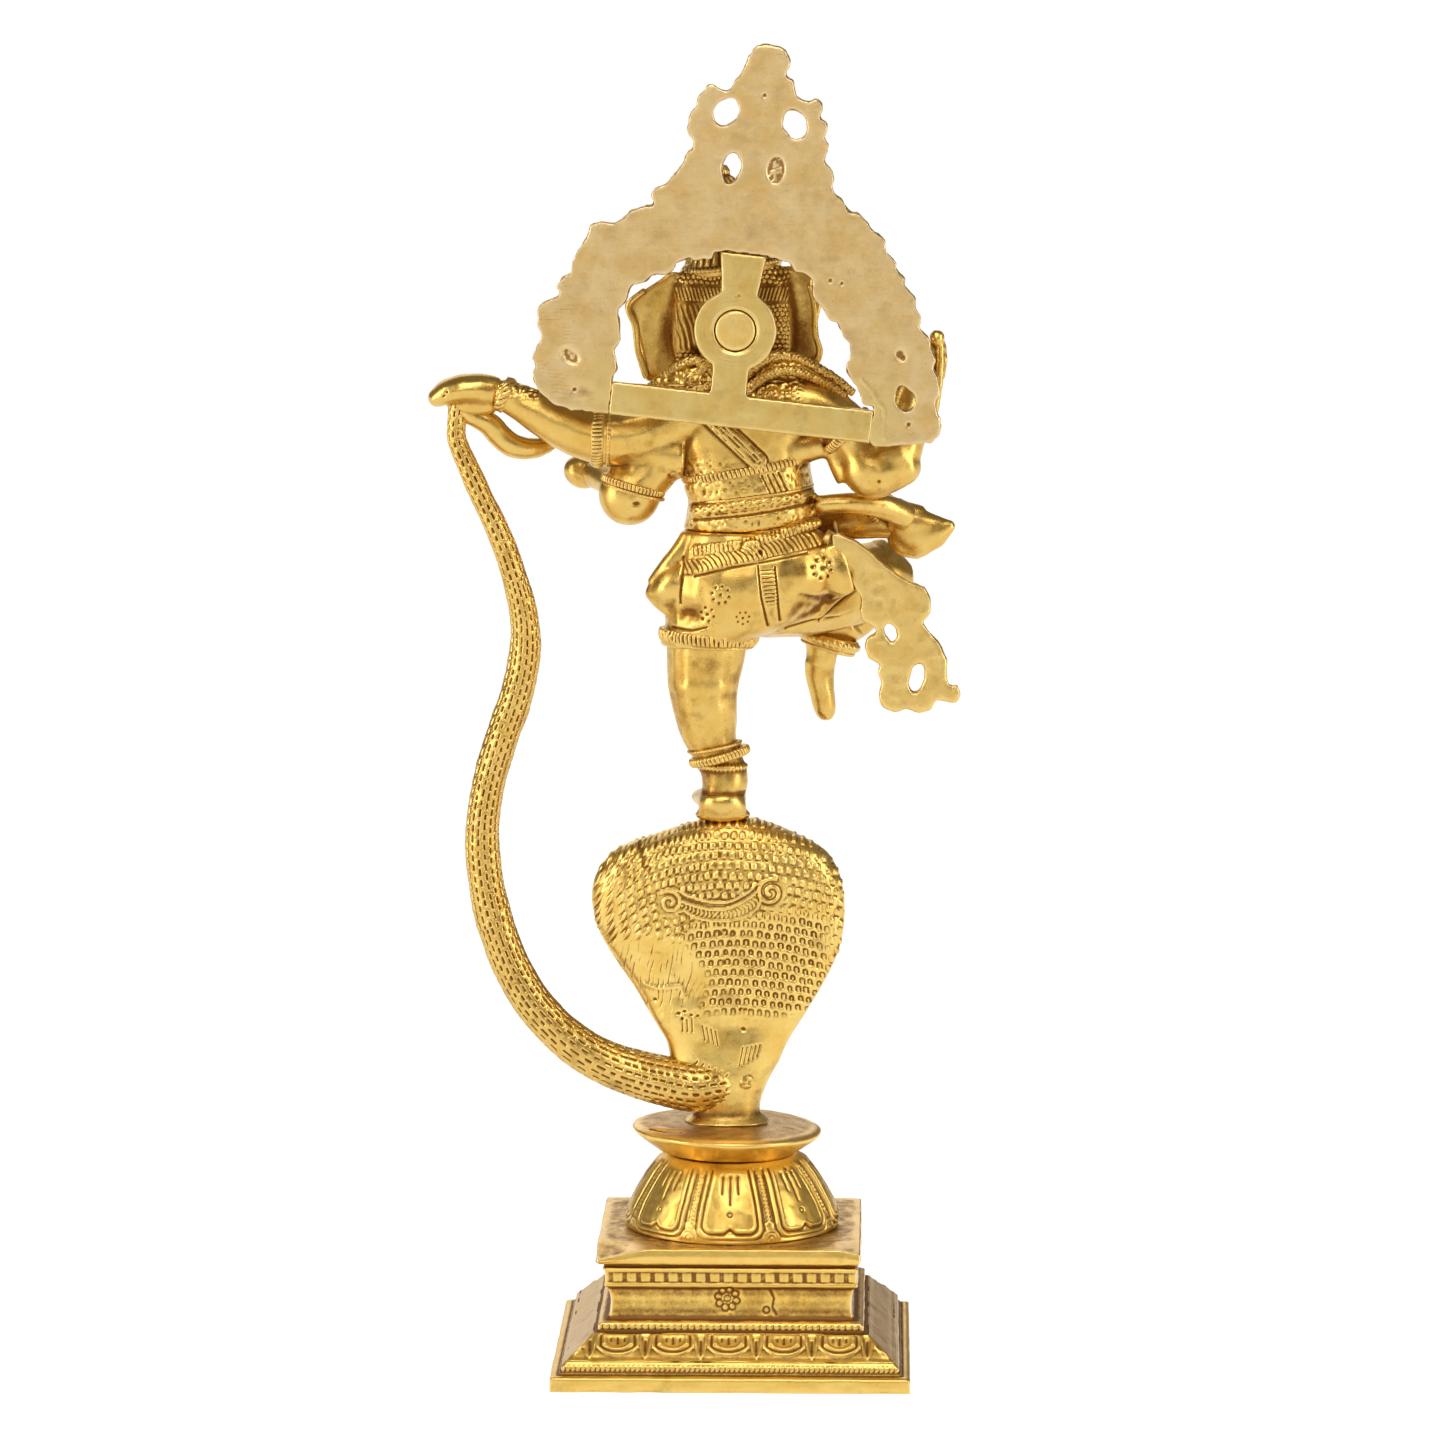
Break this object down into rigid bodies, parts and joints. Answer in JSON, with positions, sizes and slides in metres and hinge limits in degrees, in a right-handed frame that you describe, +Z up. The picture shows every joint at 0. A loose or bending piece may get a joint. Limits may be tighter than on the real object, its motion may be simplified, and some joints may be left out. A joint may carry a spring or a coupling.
{
  "type": "dancing ganesha statue",
  "caption": "Cast brass figure of an elephant-headed dancer on a cobra's hood, a lotus and a stepped square plinth, with a pierced aureole that turns on a peg behind the head.",
  "frame": {"origin": "on the floor, under the middle of the whole statue's footprint; the plinth's middle is at X = -13.2 mm, Y = 0", "axes": "+Z up; the dancer faces -Y; +X is the dancer's left, the side of the cobra's tail; +Y is the back, where the aureole hangs"},
  "size_m": [0.1824, 0.1232, 0.4564],
  "materials": {
    "cast_brass": "cast, hand-chased and brushed, golden, with brown patina in the recesses",
    "trim_brass": "cast and chased, a little browner, with dark recesses",
    "base_brass": "cast, chased and brushed, with worn tan sides",
    "filed_brass": "filed flat, pale pinkish tan, with fine file scratches",
    "bracket_brass": "filed smooth, greener yellow than the casting"
  },
  "bodies": {
    "statue": {"plinth": "base_brass", "lotus_seat": "base_brass", "lotus_disc": "base_brass", "cobra_hood": "cast_brass", "cobra_head": "cast_brass", "cobra_tail": "cast_brass", "cobra_tail_tip": "cast_brass", "left_foot": "cast_brass", "left_leg": "cast_brass", "left_anklet": "trim_brass", "dhoti": "cast_brass", "left_hem_band": "trim_brass", "left_hip_fold": "cast_brass", "right_leg": "cast_brass", "right_foot": "cast_brass", "right_anklet": "trim_brass", "torso": "cast_brass", "waist_belt": "trim_brass", "chest_band": "trim_brass", "head": "cast_brass", "trunk": "cast_brass", "right_tusk": "cast_brass", "left_tusk": "cast_brass", "left_ear": "cast_brass", "right_ear": "cast_brass", "crown": "trim_brass", "aureole_peg": "bracket_brass", "left_rear_arm": "cast_brass", "left_rear_armlet": "trim_brass", "left_rear_bracelet": "trim_brass", "left_rear_hand": "cast_brass", "left_front_arm": "cast_brass", "left_front_armlet": "trim_brass", "left_front_hand": "cast_brass", "right_rear_arm": "cast_brass", "right_rear_armlet": "trim_brass", "battle_axe": "cast_brass", "right_rear_hand": "cast_brass", "right_front_arm": "cast_brass", "right_front_bracelet": "trim_brass", "right_front_hand": "cast_brass", "sash_scroll": "filed_brass"},
    "aureole": {"aureole_arch": "filed_brass", "aureole_bracket": "bracket_brass"}
  },
  "joints": [
    {"name": "aureole_swivel", "type": "hinge", "parent": "statue", "child": "aureole", "pos_m": [-0.0143, 0.027, 0.36], "axis": [0, 1, 0], "continuous": true}
  ]
}
